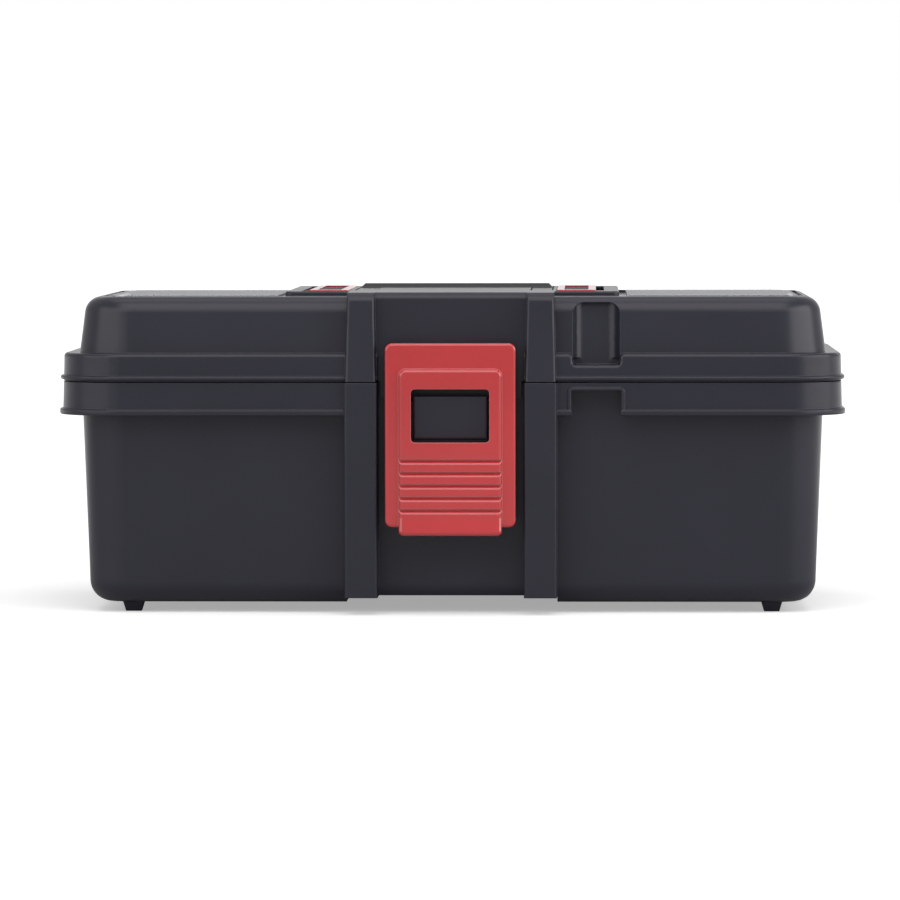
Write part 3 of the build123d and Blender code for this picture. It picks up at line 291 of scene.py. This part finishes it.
def floor_look(name):
    """Floor that is lit to the camera and behind the part, and dim where the part mirrors it."""
    tree = material_tree(name)
    behind = tree.span(tree.along_y(), FULL_RANGE, FLOOR_TURN)
    lit = tree.reckon("MAXIMUM", tree.rays("Is Camera Ray", "Is Transmission Ray"), behind)
    tree.feed("Base Color", tree.blend(lit, FLOOR_DIM, FLOOR_PALE))
    tree.fix("Roughness", FLOOR_ROUGHNESS)
    tree.fix("Specular IOR Level", 0.0)
    tree.fix("Emission Color", (*WHITE, 1.0))
    glow = tree.span(tree.distance(), FLOOR_GLOW, FLOOR_GLOW_REACH)
    tree.feed("Emission Strength", tree.reckon("MULTIPLY", lit, glow))
    return tree.owner


def paint():
    """Gives every CAD node the material of its slot, and the slide locks a darker copy of the red, which
    is painted shade.
    """
    looks = {
        # The second colour of each look is the painted highlight along its edges.
        "charcoal_shell": moulded(
            "charcoal_plastic",
            SHELL_BLACK,
            shade(SHELL_BLACK, EDGE_HIGHLIGHT_TONE),
            roughness=0.31,
            gloss=0.42,
            grain=2600.0,
            grain_depth=GRAIN_DEPTH,
            edge_radius=0.6 * MM,
        ),
        "tray_plastic": moulded(
            "tray_black_plastic",
            TRAY_BLACK,
            shade(TRAY_BLACK, EDGE_HIGHLIGHT_TONE),
            roughness=0.42,
            gloss=0.30,
            grain=2400.0,
            grain_depth=TRAY_GRAIN_DEPTH,
            edge_radius=0.35 * MM,
        ),
        "red_plastic": moulded(
            "latch_red_plastic",
            LATCH_RED,
            LATCH_EDGE_HIGHLIGHT,
            roughness=0.22,
            gloss=0.50,
            grain=3000.0,
            grain_depth=GRAIN_DEPTH,
            edge_radius=0.6 * MM,
            polish=1.0,
        ),
        "black_plastic": moulded(
            "satin_black_plastic",
            HANDLE_BLACK,
            shade(HANDLE_BLACK, EDGE_HIGHLIGHT_TONE),
            roughness=0.31,
            gloss=0.45,
            grain=2400.0,
            grain_depth=GRAIN_DEPTH,
            edge_radius=0.3 * MM,
        ),
        "clear_plastic": clear_plastic("clear_cover_plastic"),
        "steel": drawn_steel("drawn_steel"),
    }
    # The slide locks get a darker copy of the red: painted shade.
    shaded_lock_look = moulded(
        "shaded_lock_red_plastic",
        SHADED_LOCK_RED,
        SHADED_LOCK_RED,
        roughness=0.12,
        gloss=0.50,
        grain=3000.0,
        grain_depth=GRAIN_DEPTH,
        edge_radius=0.3 * MM,
    )
    for part in frame["record"]["subparts"]:
        is_lock = part["node"].startswith("cover_lock")
        look = shaded_lock_look if is_lock else looks[part["material_slot"]]
        NODES[part["node"]].material_slots[0].material = look


def make_world():
    """White to look at, white behind the part in its gloss, dimmer before it, and a soft even light."""
    world = bpy.data.worlds.new("studio")
    bpy.context.scene.world = world
    tree = Tree(world, "Background", "Generated")
    tree.fix("Color", (*WHITE, 1.0))
    room = tree.span(tree.along_y(), ROOM_GLOSS, ROOM_TURN)
    light = tree.between(tree.rays("Is Glossy Ray"), ROOM_LIGHT, room)
    backdrop = tree.rays("Is Camera Ray", "Is Transmission Ray")
    tree.feed("Strength", tree.between(backdrop, light, BACKDROP_LIGHT))


def make_floor():
    """Pale floor that takes the part's shadow and runs out to white."""
    half = FLOOR_SIZE / 2
    corners = [(-half, -half, 0), (half, -half, 0), (half, half, 0), (-half, half, 0)]
    mesh = bpy.data.meshes.new("floor")
    mesh.from_pydata(corners, [], [(0, 1, 2, 3)])
    mesh.materials.append(floor_look("pale_floor"))
    floor = bpy.data.objects.new("floor", mesh)
    bpy.context.scene.collection.objects.link(floor)


def make_lamps():
    """Large soft lamps that the camera doesn't see."""
    for name, place, size, power in LAMPS:
        light = bpy.data.lights.new(name, "AREA")
        light.shape = "RECTANGLE"
        light.size, light.size_y = size
        light.energy = power
        lamp = bpy.data.objects.new(name, light)
        lamp.location = place
        lamp.rotation_euler = (LAMP_TARGET - place).to_track_quat("-Z", "Y").to_euler()
        lamp.visible_camera = False
        bpy.context.scene.collection.objects.link(lamp)


def make_camera():
    camera = bpy.data.objects.new("camera", bpy.data.cameras.new("camera"))
    camera.data.lens = CAMERA_LENS
    camera.data.clip_end = CAMERA_REACH
    camera.location = CAMERA_PLACE
    aim = (CAMERA_TARGET - CAMERA_PLACE).to_track_quat("-Z", "Y")
    camera.rotation_euler = (aim @ Quaternion((0, 0, 1), CAMERA_ROLL)).to_euler()
    bpy.context.scene.collection.objects.link(camera)
    bpy.context.scene.camera = camera


bpy.context.scene.view_settings.view_transform = "Standard"
make_world()
make_floor()
make_lamps()
make_camera()
paint()
